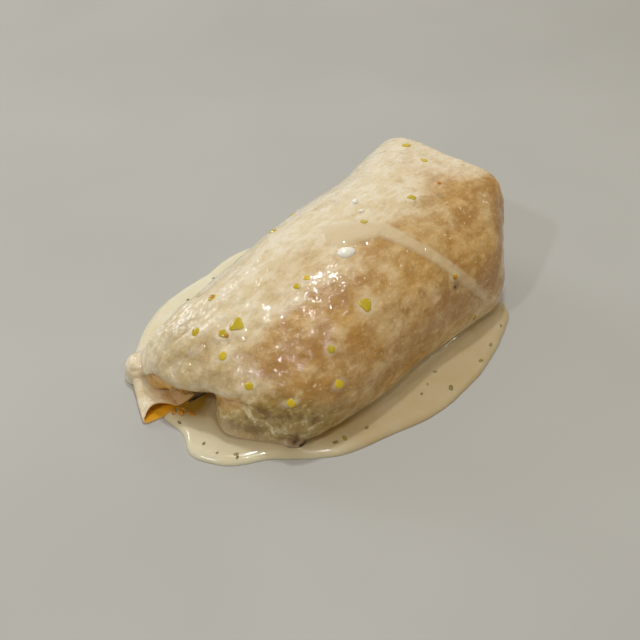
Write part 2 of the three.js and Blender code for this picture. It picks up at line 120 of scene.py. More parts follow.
# The edge of the inner layer of tortilla that shows under the roll's lip.
INNER_EDGE = [
    (-83.4, 20.5, 7), (-83.6, 17.5, 6.4), (-83.2, 14.5, 6.6), (-81.6, 11.5, 7.4), (-79.8, 8.8, 7.8),
    (-77, 6, 8),
]
INNER_RISE, INNER_SLOPE = 6.0, 2.2  # how far it goes up behind the lip, and inwards

# The pools' outer shores: x, y.
FRONT_SHORE = [
    (-88, 5), (-88, -7), (-92, -18), (-85, -31), (-73, -38.5), (-67, -44), (-59, -51),
    (-49, -57), (-29, -62.5), (-10, -66.5), (10, -65.5), (28, -62), (46, -55.5), (58, -49),
    (62, -40), (56, -30),
]
BACK_SHORE = [
    (-84, 24), (-86, 33), (-77, 41), (-64, 52), (-50, 60), (-35, 63.5), (-20, 64.5),
    (-8, 67.5), (8, 67), (24, 60), (38, 50), (46, 36),
]
AXIS_NEAR, AXIS_FAR = -62.0, 40.0  # the stretch of the roll's axis that pools run to
POOL_DEPTH, POOL_RIM = 2.4, 4.2  # thickness, and width of the rounded shore
POOL_CLIMB, CLIMB_FROM, CLIMB_WIDTH = 2.6, 10.0, 14.0  # the rise towards the roll
POOL_REACH = 34.0  # how far a pool runs inwards at most
POCKET, POCKET_SIZE = (-76.0, 1.0), 9.0  # where painted shade darkens the pool in the mouth of the fold

PITCH = 0.85  # millimetres round the roll for one degree

# Bits of pepper: x along the roll, degrees round it from the left side, size.
BITS = [
    (66, 76, 2.8), (60, 88, 2.4), (33, 98, 2.4), (7, 94, 2.2), (0, 46, 2.2), (-14, 50, 2.4),
    (-34, 100, 2.2), (-29, 100, 1.8), (-20, 131, 3.2), (-59, 96, 3.6), (-68, 81, 2.6),
    (-64, 95, 2.4), (-70, 104, 2.6), (-54, 64, 2.4), (-72, 131, 2.4), (-66, 155, 2.4),
    (-46, 162, 2.6), (-42, 139, 2.2), (24, 152, 1.8), (35, 186, 2),
]
ORANGE_BITS = [(24, 152, 2.0), (-54, 64, 2.4), (-64, 97, 1.8), (35, 186, 1.8), (50, 100, 1.8)]

# Crumbs in the fold's mouth and flecks of herb on the pools: x, y, size.
CRUMBS = [
    (-84, 3, 2.6), (-82.2, 0.8, 3), (-80, -1.6, 2.4), (-79.4, -3.4, 1.8), (-80.4, 1.8, 2.6),
    (-83, 4.6, 2),
]
FRONT_FLECKS = [
    (-85.8, -17.7, 1.8), (-80.6, -29.8, 2), (-81.2, -31.2, 1.8), (-86, -2.4, 2), (-85.1, -24.5, 1.4),
    (-50.5, -50.9, 2.4), (-46.6, -51.8, 2.6), (-36.9, -53.7, 2.2), (2.4, -61.9, 3), (23.7, -60.3, 2.6),
    (34.3, -57.1, 2.2), (47.3, -52.7, 1.8), (4.7, -51.8, 1.8), (-8.4, -56.2, 1.6), (-2.7, -54.3, 1.4),
]
BACK_FLECKS = [(-38, 54, 1.8), (-20, 58, 2), (-6, 60, 2.2), (14, 56, 2)]

# Drops of cream: x, degrees, length, width, height.
DROPS = [(15, 81, 3.2, 2.5, 1.4), (12, 88, 2.2, 1.8, 1), (-10, 102, 7.2, 5, 2.2)]

# The ribbon of sauce: x, degrees, half width.
RIBBON = [
    (-5, 92, 6.2), (3, 97, 6), (9, 103, 4.4), (13, 118, 3), (18, 131, 2.8), (23.5, 145, 2.6),
    (28.5, 157, 2.4), (34.5, 170, 2), (40, 178, 1.4),
]

CHIP_CORNER = 9  # how sharp a chip's corners are
SPIN = 6.3  # a random spin is up to this many radians
ABOVE_POOL = 3.0  # height from which the nearest spot on a pool is found

VOXEL = 0.75  # size of the roll's surface cells

# ---- the camera

EYE = np.array([-211.03, -208.87, 250.26])  # in the roll's own frame
LOOK = Vector((0.53214, 0.55105, -0.64279))
LENS, SENSOR = 50.625, 36.0


def place(points):
    """Millimetres in the roll's own frame to metres in the part's frame."""
    return (np.asarray(points, float) + SHIFT) * MM


def add(name, data):
    """A new object in the scene."""
    obj = bpy.data.objects.new(name, data)
    bpy.context.scene.collection.objects.link(obj)
    return obj


def make_camera():
    data = bpy.data.cameras.new("camera")
    data.lens = LENS
    data.sensor_width = SENSOR
    data.clip_start = 0.01
    camera = add("camera", data)
    camera.location = Vector(place(EYE))
    camera.rotation_euler = LOOK.to_track_quat("-Z", "Y").to_euler()
    bpy.context.scene.camera = camera


# ---- small tools

def blend(rows, column, x):
    """Smooth value of one column at x, between the rows of a table."""
    xs, ys = rows[:, 0], rows[:, column]
    slopes = np.empty(len(xs))
    slopes[1:-1] = (ys[2:] - ys[:-2]) / (xs[2:] - xs[:-2])
    slopes[0] = (ys[1] - ys[0]) / (xs[1] - xs[0])
    slopes[-1] = (ys[-1] - ys[-2]) / (xs[-1] - xs[-2])
    at = np.clip(x, xs[0], xs[-1])
    i = np.clip(np.searchsorted(xs, at) - 1, 0, len(xs) - 2)
    span = xs[i + 1] - xs[i]
    t = (at - xs[i]) / span
    low = (2 * t**3 - 3 * t**2 + 1) * ys[i] + (t**3 - 2 * t**2 + t) * span * slopes[i]
    return low + (3 * t**2 - 2 * t**3) * ys[i + 1] + (t**3 - t**2) * span * slopes[i + 1]


def smoothstep(value, low, high):
    """0 up to low, 1 from high, and a soft rise between."""
    t = np.clip((value - low) / (high - low), 0, 1)
    return t * t * (3 - 2 * t)


def grain(points, size, seed=0):
    """Perlin noise of that size in millimetres at each point, about -1 to 1."""
    scaled = (points / size + seed * 31.7).tolist()
    return np.array([noise.noise(p) for p in scaled])


def spot(points, centre, size, shape=(1, 1, 1)):
    """1 in the middle of a round spot, and 0 soon after its size."""
    return np.exp(-((np.linalg.norm((points - centre) / shape, axis=1) / size) ** 4))


def ring_faces(rings, around):
    """Quads between closed rings of points laid one after another."""
    faces = []
    for i in range(rings - 1):
        for j in range(around):
            k = (j + 1) % around
            low, high = i * around, (i + 1) * around
            faces.append((low + j, low + k, high + k, high + j))
    return faces


def loft(rings):
    """A closed mesh through rings of points, shut at both ends."""
    rings = np.asarray(rings, float)
    count, around = rings.shape[:2]
    points = np.vstack([rings.reshape(-1, 3), rings[0].mean(0), rings[-1].mean(0)])
    faces = ring_faces(count, around)
    start, last = count * around, (count - 1) * around
    for j in range(around):
        k = (j + 1) % around
        faces.append((start, k, j))
        faces.append((start + 1, last + j, last + k))
    return points, faces


def make_object(name, points, faces):
    """A mesh object from points in millimetres, with its faces turned outwards."""
    mesh = bpy.data.meshes.new(name)
    mesh.from_pydata(place(points).tolist(), [], faces)
    mesh.validate()
    work = bmesh.new()
    work.from_mesh(mesh)
    bmesh.ops.recalc_face_normals(work, faces=work.faces)
    work.to_mesh(mesh)
    work.free()
    mesh.polygons.foreach_set("use_smooth", [True] * len(mesh.polygons))
    return add(name, mesh)


def vectors_of(obj, what):
    """The mesh's points, as "co", or their directions outwards, as "normal"."""
    flat = np.empty(len(obj.data.vertices) * 3)
    obj.data.vertices.foreach_get(what, flat)
    return flat.reshape(-1, 3)


def points_of(obj):
    """The mesh's points in millimetres in the roll's own frame."""
    return vectors_of(obj, "co") / MM - SHIFT


def set_points(obj, points):
    obj.data.vertices.foreach_set("co", place(points).ravel())
    obj.data.update()


def apply_modifier(obj, kind, **settings):
    """Adds one modifier, applies it and takes it off again."""
    modifier = obj.modifiers.new(kind.lower(), kind)
    for key, value in settings.items():
        setattr(modifier, key, value)
    graph = bpy.context.evaluated_depsgraph_get()
    graph.update()
    mesh = bpy.data.meshes.new_from_object(obj.evaluated_get(graph))
    obj.modifiers.clear()
    old = obj.data
    obj.data = mesh
    bpy.data.meshes.remove(old)


def cut_or_join(obj, other, operation):
    """Cuts the other object out of this one or joins it, and removes it."""
    apply_modifier(obj, "BOOLEAN", object=other, operation=operation, solver="MANIFOLD")
    bpy.data.objects.remove(other)


def relax(obj, rounds, hold=None):
    """Laplacian smoothing; hold is 1 where a point stays put."""
    points = points_of(obj)
    edges = np.empty(len(obj.data.edges) * 2, int)
    obj.data.edges.foreach_get("vertices", edges)
    edges = edges.reshape(-1, 2)
    source = np.concatenate([edges[:, 0], edges[:, 1]])
    target = np.concatenate([edges[:, 1], edges[:, 0]])
    count = np.maximum(np.bincount(source, minlength=len(points)), 1)[:, None]
    free = 0.5 if hold is None else 0.5 * (1 - hold)[:, None]
    for _ in range(rounds):
        total = np.stack([np.bincount(source, points[target, a], len(points)) for a in range(3)], 1)
        points = points + free * (total / count - points)
    set_points(obj, points)


# ---- the roll

def end_shares(x):
    """How much each end's slope counts at x, from 0 in the middle to 1."""
    near = np.clip((-x - BEND_START) / NEAR_BEND, 0, 1) ** 2
    far = np.clip((x - BEND_START) / FAR_BEND, 0, 1) ** 2
    return near, far


def skin(x, degrees, inset=0.0, shrink=1.0):
    """Points on the roll at x, and at an angle round it in degrees."""
    right, left, top, ridge, box_r, box_l, lean = [blend(SECTIONS, c, x) for c in range(1, 8)]
    turn = np.radians(degrees)
    c, s = np.cos(turn), np.sin(turn)
    foot = np.minimum(FOOT_HEIGHT, WAIST * top)
    power = 2 / np.where(s >= 0, np.where(c > 0, box_l, box_r), FOOT_BOXY)
    reach = np.where(c > 0, left - ridge, right + ridge)
    y = ridge + reach * np.sign(c) * np.abs(c) ** power
    rise = np.abs(s) ** power
    z = np.where(s >= 0, foot + (top - foot) * rise, foot * (1 - FOOT_SINK * rise))
    height = np.clip((z - foot) / (top - foot), 0, 1)
    y = np.where(c < 0, y * (1 - lean * height), y)
    mid_y, mid_z, half = (left - right) / 2, WAIST * top, (left + right) / 2
    y = mid_y + (y - mid_y) * (1 - inset / half) * shrink
    z = mid_z + (z - mid_z) * (1 - EDGE_TALL * inset / (top - mid_z)) * shrink
    near, far = end_shares(x)
    low = 1 - smoothstep(z, DENT_TOP / 2, DENT_TOP)
    dent = DENT * near**2 * low * np.exp(-(((y - DENT_Y) / DENT_WIDTH) ** 2))
    swell = np.exp(-(((y - LIP["y"]) / LIP["width"]) ** 2) - ((z - LIP["z"]) / LIP["tall"]) ** 2)
    slant = near * NEAR_SKEW * y + dent - LIP["out"] * near**2 * swell
    slant = slant + far * (FAR_SKEW * y + FAR_LEAN * (z - FAR_LEVEL))
    return np.stack([x + slant, y, np.maximum(z, 0)], -1)


def roll_mesh():
    """The rolled tortilla: two faces, two rounded edges and the side between."""
    around, face_steps, edge_steps, mid_steps = 170, 12, 12, 170
    degrees = np.linspace(0, 360, around, endpoint=False)
    rings = []

    def ring(x, at, inset, shrink):
        points = skin(np.full(around, float(at)), degrees, inset, shrink)
        points[:, 0] += x - at
        rings.append(points)

    for k in range(1, face_steps + 1):
        shrink = k / (face_steps + 1)
        ring(NEAR_END - NEAR_BULGE * (1 - shrink**2), NEAR_END, NEAR_ROUND, shrink)
    for k in range(edge_steps + 1):
        angle = math.pi / 2 * (1 - k / edge_steps)
        x = NEAR_END + NEAR_ROUND * (1 - math.sin(angle))
        ring(x, x, NEAR_ROUND * (1 - math.cos(angle)), 1)
    start, end = NEAR_END + NEAR_ROUND, FAR_END - FAR_ROUND
    for k in range(1, mid_steps):
        x = start + (end - start) * k / mid_steps
        ring(x, x, 0, 1)
    for k in range(edge_steps + 1):
        angle = math.pi / 2 * k / edge_steps
        x = end + FAR_ROUND * math.sin(angle)
        ring(x, x, FAR_ROUND * (1 - math.cos(angle)), 1)
    for k in range(face_steps, 0, -1):
        shrink = k / (face_steps + 1)
        ring(FAR_END + FAR_BULGE * (1 - shrink**2), FAR_END, FAR_ROUND, shrink)
    return loft(rings)


def hollow_mesh():
    """The tunnel that is cut out under the lip."""
    steps = 40
    angle = np.pi * np.arange(steps + 1) / steps
    across = np.sign(np.cos(angle)) * np.abs(np.cos(angle)) ** HOLLOW_BOXY
    rise = np.sin(angle) ** HOLLOW_BOXY
    rings = []
    for x, left, right, height in HOLLOW:
        middle, half = (left + right) / 2, (left - right) / 2
        z = -BELOW + (height + BELOW) * rise
        rings.append(np.stack([np.full(steps + 1, float(x)), middle + half * across, z], 1))
    return loft(rings)


def recess_mesh():
    """The shape that is cut out where the flap lies."""
    return loft([[(x, y, z) for x, z in RECESS] for y in RECESS_ACROSS])


def ball_mesh(centre, radii, turn):
    """An ellipsoid, turned about the upright axis."""
    rows, columns = 24, 36
    angle = np.linspace(0, 2 * np.pi, columns, endpoint=False)
    rings = []
    for k in range(1, rows):
        fall = np.pi * k / rows
        x, y = np.cos(angle) * math.sin(fall), np.sin(angle) * math.sin(fall)
        rings.append(np.stack([x, y, np.full(columns, math.cos(fall))], 1) * radii)
    points, faces = loft(rings)
    points[-2] = (0, 0, radii[2])
    points[-1] = (0, 0, -radii[2])
    c, s = math.cos(turn), math.sin(turn)
    spin = np.array([[c, -s, 0], [s, c, 0], [0, 0, 1]])
    return points @ spin.T + centre, faces


def make_tortilla():
    """The roll with its hollow, recess, corner and nub, before its relief."""
    all_rounds, fine_rounds = 12, 60  # of smoothing everywhere, and of the corner alone
    obj = make_object("tortilla_roll", *roll_mesh())
    for name, shape, operation in (
        ("hollow", hollow_mesh(), "DIFFERENCE"),
        ("recess", recess_mesh(), "DIFFERENCE"),
        ("corner", ball_mesh(*CORNER_LUMP), "UNION"),
        ("nub", ball_mesh(*NUB_LUMP), "UNION"),
    ):
        cut_or_join(obj, make_object(name, *shape), operation)
    apply_modifier(obj, "REMESH", mode="VOXEL", voxel_size=VOXEL * MM)
    relax(obj, all_rounds)
    points = points_of(obj)
    relax(obj, fine_rounds, 1 - spot(points, CORNER, CORNER_SIZE) * smoothstep(points[:, 2], 2, 5))
    return obj


def unroll(points):
    """x along the roll and degrees round it of points near its surface."""
    x, y, z = points[:, 0].copy(), points[:, 1], points[:, 2]
    rounds = 4
    for _ in range(rounds):
        near, far = end_shares(x)
        x = points[:, 0] - near * NEAR_SKEW * y - far * (FAR_SKEW * y + FAR_LEAN * (z - FAR_LEVEL))
        x = np.clip(x, NEAR_END, FAR_END)
    right, left, top, ridge, box_r, box_l, lean = [blend(SECTIONS, c, x) for c in range(1, 8)]
    foot = np.minimum(FOOT_HEIGHT, WAIST * top)
    height = np.clip((z - foot) / (top - foot), 0, 1)
    y = np.where(y < 0, y / (1 - lean * height), y)
    to_left = y > ridge
    box = np.where(to_left, box_l, box_r)
    reach = np.where(to_left, left - ridge, right + ridge)
    c = np.clip(np.abs(y - ridge) / reach, 0, 1.2) ** (box / 2)
    s = height ** (box / 2)
    low = np.clip((foot - z) / (FOOT_SINK * foot), 0, 1) ** (FOOT_BOXY / 2)
    degrees = np.degrees(np.arctan2(np.where(z > foot, s, -low), np.where(to_left, c, -c)))
    return x, np.where(degrees < -90, degrees + 360, degrees)


def patches(x, degrees, rows):
    """Sum of soft patches, each a row as in TAN."""
    total = np.zeros(len(x))
    for at, turn, long, wide, weight in rows:
        total += weight * np.exp(-(((x - at) / long) ** 2) - ((degrees - turn) / wide) ** 2)
    return total


def along_line(x, degrees, rows):
    """Distance from a line of x, degrees and half width, in half widths."""
    best = np.full(len(x), 99.0)
    for (x0, turn0, width0), (x1, turn1, width1) in zip(rows, rows[1:]):
        dx, dy = x1 - x0, (turn1 - turn0) * PITCH
        hx, hy = x - x0, (degrees - turn0) * PITCH
        t = np.clip((hx * dx + hy * dy) / (dx * dx + dy * dy), 0, 1)
        off = np.hypot(hx - t * dx, hy - t * dy) / (width0 + (width1 - width0) * t)
        best = np.minimum(best, off)
    return best


# ---- the marks

# Soft patches of colour: x, degrees round, half length, half width, weight. Tan and brown patches low on the
# right side and on the near lobes' fronts are partly painted shade on faces turned from the lights.
TAN = [
    (-12, 128, 34, 26, 0.9), (32, 130, 28, 26, 0.7), (50, 104, 14, 18, 0.5), (-48, 122, 14, 16, 0.55),
    (-30, 92, 16, 12, 0.3), (10, 160, 40, 22, 0.5), (-40, 160, 20, 24, 0.45), (62, 150, 16, 40, 0.8),
    (0, 182, 50, 16, 0.8), (-66, 190, 16, 14, 0.8), (-72, 150, 8, 14, 0.5), (-74, 104, 12, 40, 0.35),
    (-56, 154, 16, 16, 0.9), (-10, 172, 34, 10, 0.5), (64, 136, 16, 34, 0.7), (34, 160, 22, 12, 0.6),
    (-56, 122, 14, 12, 0.8), (-44, 124, 12, 12, 0.6), (-40, 140, 14, 12, 0.5), (10, 108, 14, 8, 0.5),
    (-38, 152, 14, 12, 0.7),
]
BROWN = [
    (48, 169, 6, 6, 0.9), (23, 156, 6, 6, 0.8), (64, 156, 8, 16, 0.6), (-64, 196, 14, 8, 0.8),
    (-66, 160, 5, 8, 0.5), (62, 118, 10, 9, 0.7), (42, 128, 14, 8, 0.7), (5, 150, 16, 9, 0.6),
    (-18, 118, 18, 9, 0.7), (-50, 130, 12, 8, 0.5), (30, 104, 10, 8, 0.4), (-30, 146, 16, 8, 0.5),
    (-20, 178, 30, 12, 0.5), (30, 172, 16, 10, 0.5), (-55, 156, 16, 12, 0.9), (66, 138, 9, 30, 0.6),
    (32, 160, 18, 10, 0.7), (64, 178, 10, 20, 0.8), (-56, 120, 9, 8, 0.8), (-61, 128, 6, 7, 0.5),
    (-42, 130, 12, 9, 0.4), (8, 108, 12, 6, 0.4), (-38, 152, 12, 10, 0.7),
]
GREEN = [
    (-78, 84, 8, 18, 0.5), (-73, 112, 8, 12, 0.2), (-74, 160, 10, 18, 1.0), (-60, 185, 14, 14, 0.9),
    (-68, 66, 8, 8, 0.5), (-20, 196, 30, 14, 0.4), (-70, 176, 12, 18, 0.9),
]
# Whiter sauce glaze high on the left side: real glaze, and partly a painted sheen on the side the lights fall
# on.
GLAZE_AND_SHEEN = [(-20, 62, 60, 30, 0.9), (62, 62, 22, 30, 0.9), (25, 66, 26, 26, 0.5)]

# Smears of sauce, each a line of x, degrees and half width.
SMEARS = [
    [(-80, 66, 2.4), (-68, 60, 3.6), (-56, 66, 3)],
    [(-68, 84, 2), (-60, 88, 3.6), (-50, 92, 2)],
    [(-40, 97, 2), (-30, 100, 3), (-24, 102, 1.6)],
    [(-52, 100, 3), (-44, 104, 4), (-36, 106, 3)],
]

# Dark burnt spots and faint brown ones: x, degrees round, radius.
BURNS = [(23, 158, 0.9)]
SCORCHES = [(23, 158, 2.2), (48.6, 168, 2.6), (42.5, 172, 1.0), (44, 107, 1.6)]

# Creases: width, depth, painted shade and a path of points on the surface.
CREASES = [
    (1.2, 2.3, 0.4, [(-80, 30.5, 13), (-82.5, 26.5, 11.5), (-84.8, 21, 11), (-84.5, 17, 10)]),
    (0.7, 0.9, 0.4, [(-85.4, 28, 7.5), (-84.2, 25, 9.5), (-83.5, 22, 10.5)]),
    (0.9, 0.7, 0.35, [
        (-29, -49.5, 7.5), (-17.5, -49.8, 12.5), (-11, -49.3, 12.6), (-1, -48.2, 12.6), (6, -47.8, 9),
    ]),
    (0.7, 0.5, 0.3, [(21.5, -47, 9), (17.6, -46.5, 6.6), (12, -46.5, 5)]),
    (0.9, 1.6, 0.5, [(-75.6, -9, 15), (-75.9, -12, 16.6), (-75.6, -18, 18.8), (-73.4, -23.5, 20)]),
    (1.0, 0.8, 0.2, [(-60, -30, 23), (-57, -38, 17), (-58, -43, 10)]),
    (1.2, 0.7, 0.1, [(-72, -6, 27), (-66, -18, 27), (-60, -26, 26)]),
    (0.9, 0.6, 0.1, [(-20, -47, 24), (-4, -47.5, 19), (10, -47.5, 16)]),
]
CREASE_SHADE = 1.3  # width of a crease's painted shade in crease widths

# The lower edge of the near lobe: y, z, and how far the layer under it is set back.
LOBE_EDGE = [
    (-30, 20.5, 0), (-25, 20.2, 0.9), (-18, 18.8, 1.7), (-12, 16.5, 1.8), (-6, 15, 1.4), (-1.5, 15, 1.2),
    (1.8, 17, 1.7), (8, 17.5, 1.9), (13, 16, 1.9), (17, 13, 1.9), (22, 9, 0.8), (26, 6, 0),
]
DEEPEST_STEP = 1.9

MARKS = ("tan", "brown", "green", "film", "smear", "stain", "char")


def near_path(points, path):
    """Distance of points from a path of straight pieces."""
    best = np.full(len(points), 1e9)
    for start, end in zip(np.array(path[:-1], float), np.array(path[1:], float)):
        way = end - start
        t = np.clip((points - start) @ way / (way @ way), 0, 1)
        best = np.minimum(best, np.linalg.norm(points - start - t[:, None] * way, axis=1))
    return best


def streaks(x, degrees, turn, long, short, seed):
    """Noise drawn out into wrinkles that run at an angle to the roll's length."""
    across = degrees * PITCH
    c, s = math.cos(math.radians(turn)), math.sin(math.radians(turn))
    flat = np.column_stack([(x * c + across * s) / long, (across * c - x * s) / short, np.zeros(len(x))])
    return grain(flat, 1, seed)


def off_by(x, degrees, at, turn):
    """Distance over the roll's surface from a spot on it."""
    return np.hypot(x - at, (degrees - turn) * PITCH)


def bare_lift(points, x, degrees):
    """Height of the lumps and wrinkles before any sauce."""
    near = smoothstep(-x, 20, 68)
    left = smoothstep(-degrees, -100, -50)
    lift = 0.6 * grain(points, 24, 1) + (0.25 + 0.55 * near) * grain(points, 9, 2)
    lift += (0.13 + 0.3 * near) * grain(points, 4.6, 3) + (0.08 + 0.05 * near) * grain(points, 2.2, 4)
    lift += (0.1 + 0.45 * near * left) * streaks(x, degrees, 0, 14, 3.2, 12)
    lift += 0.35 * near * (1 - left) * streaks(x, degrees, 62, 12, 4, 13)
    lift += 0.09 * grain(points, 1.7, 17)
    lift -= 0.7 * spot(points, NUB, NUB_SIZE) * smoothstep(grain(points, 2, 21), -0.1, 0.35)
    far_edge = smoothstep(points[:, 0], 62, 72) * smoothstep(degrees, 110, 140)
    lift += far_edge * (0.55 * grain(points, 5.5, 19) + 0.25 * grain(points, 2.6, 20))
    return lift - (0.34 + 0.3 * far_edge)


def wet_smears(points, x, degrees, glob):
    """Thin sauce: the smears, a patch round each bit of pepper, and the corner."""
    smear = np.zeros(len(x))
    uneven = 0.75 + 0.5 * grain(points, 3, 14)
    for row in SMEARS:
        smear = np.maximum(smear, np.exp(-(along_line(x, degrees, row) ** 2)) * uneven)
    for at, turn, size in BITS:
        off = off_by(x, degrees, at, turn) / size
        smear = np.maximum(smear, 0.9 * np.exp(-(off**3) * 0.5))
    return np.maximum(smear, np.maximum(glob, 0.6 * spot(points, CORNER, CORNER_SIZE)))


def lobe_step(points, normals):
    """The set-back of the layer under the near lobe, its painted shadow line and its painted shade."""
    x, y = points[:, 0], points[:, 1]
    edge_y, edge_z, step = np.array(LOBE_EDGE).T
    step = np.interp(y, edge_y, step)
    below = np.interp(y, edge_y, edge_z) + 0.3 * grain(points, 3, 18) - points[:, 2]
    near, facing = smoothstep(-x, 70, 73), smoothstep(-normals[:, 0], 0.1, 0.4)
    right_lobe = smoothstep(-y, 8, 12)
    under = smoothstep(below, 0, 0.8) * near * facing * step
    under *= 1 - right_lobe * smoothstep(below, 2.5, 8)
    # Painted shadow: a dark line just under the lobe's lower edge.
    line = np.exp(-(((below - 0.5) / 0.6) ** 2)) * near * (facing * step / DEEPEST_STEP)
    # The third value is painted shade under the lobe's edge.
    return under, line, 0.38 * under * (1 - 0.4 * right_lobe)


def mouth_stain(points, normals):
    """Painted shade, in orange, inside the mouth of the fold."""
    x, y, z = points.T
    stain = smoothstep(-x, 60, 70) * (1 - smoothstep(z, 7, 13))
    stain *= 1 - smoothstep(-normals[:, 0], -0.2, 0.4)
    return stain * (smoothstep(y, -20, -10) * (1 - smoothstep(y, 14, 20)))


def scorched(points, x, degrees, nub, line):
    """The dark nub, the burnt spots and the painted shadow line under the lobe."""
    char = nub * (0.5 + 0.5 * smoothstep(grain(points, 2, 21), -0.3, 0.3))
    faint = 0.3 + 0.3 * grain(points, 1.8, 22)
    for rows, spread, weight in ((BURNS, 1, 1), (SCORCHES, 1.1, faint)):
        for at, turn, size in rows:
            off = off_by(x, degrees, at, turn) / size / spread
            char = np.maximum(char, np.exp(-(off**4)) * weight)
    # The painted shadow line under the lobe darkens half as much as char.
    return np.maximum(char, 0.5 * line)


def bring_relief(obj):
    """Moves the relief into the roll's surface, and marks where its colours lie."""
    points, normals = points_of(obj), vectors_of(obj, "normal")
    x, degrees = unroll(points)
    over = smoothstep(points[:, 2], 1.5, 7)
    face = smoothstep(-normals[:, 0], 0.75, 0.95) + smoothstep(normals[:, 0], 0.8, 0.95)
    film = np.exp(-(along_line(x, degrees, RIBBON) ** 7)) * (1 - 0.45 * smoothstep(x, 0, 34))
    glob = spot(points, GLOB, GLOB_SIZE, GLOB_SHAPE)
    smear = wet_smears(points, x, degrees, glob)
    lift = bare_lift(points, x, degrees) * (1 - 0.6 * film) * (1 - 0.8 * glob)
    lift = lift + 0.75 * film + 0.25 * smear + 0.5 * glob
    under, line, under_stain = lobe_step(points, normals)
    stain = mouth_stain(points, normals)
    wet_foot = smoothstep(-points[:, 1], 12, 20) * (1 - smoothstep(points[:, 2], 3, 9))
    wet_foot *= smoothstep(-points[:, 0], 40, 55)
    # Each crease is cut in and darkened with painted shade.
    for width, depth, crease_shade, path in CREASES:
        off = near_path(points, path) / width
        lift -= depth * np.exp(-(off**2))
        stain = np.maximum(stain, crease_shade * np.exp(-((off / CREASE_SHADE) ** 2)))
    stain = np.maximum(stain, under_stain)
    points = points + normals * (lift * over * (1 - 0.5 * np.clip(face, 0, 1)))[:, None]
    points[:, 0] += under
    points[:, 2] = np.maximum(points[:, 2], 0)
    set_points(obj, points)
    nub = spot(points, NUB, NUB_SIZE)
    # Painted sheen: the glaze patches whiten the lit upper left through the smear mark.
    glaze_and_sheen = np.maximum(smear, 0.5 * patches(x, degrees, GLAZE_AND_SHEEN))
    mark_tortilla(
        obj,
        tan=patches(x, degrees, TAN),
        brown=np.maximum(patches(x, degrees, BROWN), 1.5 * nub),
        green=np.maximum(patches(x, degrees, GREEN), 0.5 * wet_foot) * (1 - nub),
        film=film,
        smear=np.maximum(glaze_and_sheen, 0.3 * wet_foot * (1 - nub)),
        stain=stain * (1 - nub),
        char=scorched(points, x, degrees, nub, line),
    )


def mark(obj, name, values):
    """A number from 0 to 1 for each point, for the materials."""
    layer = obj.data.attributes.new(name, "FLOAT", "POINT")
    layer.data.foreach_set("value", np.clip(values, 0, 1).astype(np.float32))


def mark_tortilla(obj, **given):
    """The tortilla's marks, zero where none is given."""
    for name in MARKS:
        mark(obj, name, given.get(name, 0.0) * np.ones(len(obj.data.vertices)))


# ---- the flap

def sheet_mesh(outer, inner):
    """A closed sheet between two grids of points of the same shape."""
    rings = np.concatenate([outer, inner[:, ::-1]], 1)
    along, around = rings.shape[:2]
    faces = ring_faces(along, around)
    for row in (0, along - 1):
        base = row * around
        for j in range(around // 2 - 1):
            faces.append((base + j, base + j + 1, base + around - 2 - j, base + around - 1 - j))
    return rings.reshape(-1, 3), faces


def flap_profile(fold, thick, lip, root, gape, inset):
    """x and z along the folded sheet, from the lower layer to the upper one."""
    middle = fold + thick / 2
    radius, width = max(thick / 2 - inset, 0.15), FLAP_ROOT_X - fold - thick / 2
    profile = []
    for x in np.linspace(root, middle, FLAP_LOWER)[:-1]:
        t = (x - fold - thick / 2) / width
        profile.append((x, inset + max(lip - thick, 0) * t**1.5 * smoothstep(t, 0.2, 0.6)))
    for k in range(FLAP_TURN + 1):
        angle = -math.pi / 2 - math.pi * k / FLAP_TURN
        profile.append((middle + radius * math.cos(angle), thick / 2 + radius * math.sin(angle)))
    for t in np.linspace(0, 1, FLAP_UPPER)[1:]:
        rise = (lip - thick) * t**1.5 + gape * math.sin(math.pi * min(t * 1.6, 1)) ** 0.8
        profile.append((middle + width * t, thick - inset + rise))
    return profile


def make_flap():
    """The flattened open fold along the near end, a thin sheet folded on itself."""
    along = 100
    over = np.linspace(0, 1, FLAP_UPPER)[1:]
    set_back = [FLAP_BACK * math.sin(math.pi * min(1.5 * t + 0.12, 1)) for t in over]
    turning = [set_back[0] * k / FLAP_TURN for k in range(FLAP_TURN)]
    back = [0.0] * FLAP_LOWER + turning + set_back
    outer, inner = [], []
    for y in np.linspace(FLAP[0, 0], FLAP[-1, 0] + 4, along):
        fold, thick, lip, root, slant = [float(blend(FLAP, c, y)) for c in range(1, 6)]
        gape = FLAP_GAPE * (1 - smoothstep(y, 6, 17))
        open_end = 1 - smoothstep(y, 6, 14)
        for inset, rows in ((0.0, outer), (FLAP_SHEET, inner)):
            profile = flap_profile(fold, thick, lip, root, gape, inset)
            rows.append([
                (x, y + slant * (min(x, LIP_X) - FLAP_SLANT_X) + b * open_end, z)
                for (x, z), b in zip(profile, back)
            ])
    outer, inner = np.array(outer), np.array(inner)
    count = outer.shape[1]
    obj = make_object("tortilla_flap", *sheet_mesh(outer, inner))
    flat = points_of(obj)
    wave = 0.5 * grain(flat, 14, 5) + 0.25 * grain(flat, 5, 6) + 0.1 * grain(flat, 2.2, 7)
    flat[:, 2] = np.maximum(flat[:, 2] + wave * smoothstep(flat[:, 2], 0.8, 4), 0)
    flat[:, 0] += 0.3 + 0.5 * grain(flat, 9, 8)
    flat[:, 1] += 0.4 * grain(flat, 5, 9) * (1 - smoothstep(flat[:, 1], 6, 12))
    set_points(obj, flat)
    inside = np.tile(np.concatenate([np.zeros(count), np.ones(count)]), along)
    # Painted light and shade on the flap: its outer face is whitened through the smear mark as painted light
    # in the roll's shade, and painted shade turns its top orange towards the roll's lip; its inner faces are
    # orange.
    lip_shade = smoothstep(flat[:, 0], -88, -80) * (1 - smoothstep(flat[:, 1], 15, 26))
    mark_tortilla(obj, tan=0.15, smear=0.4 * (1 - inside), stain=np.maximum(inside, 0.03 + 0.6 * lip_shade))
    return obj


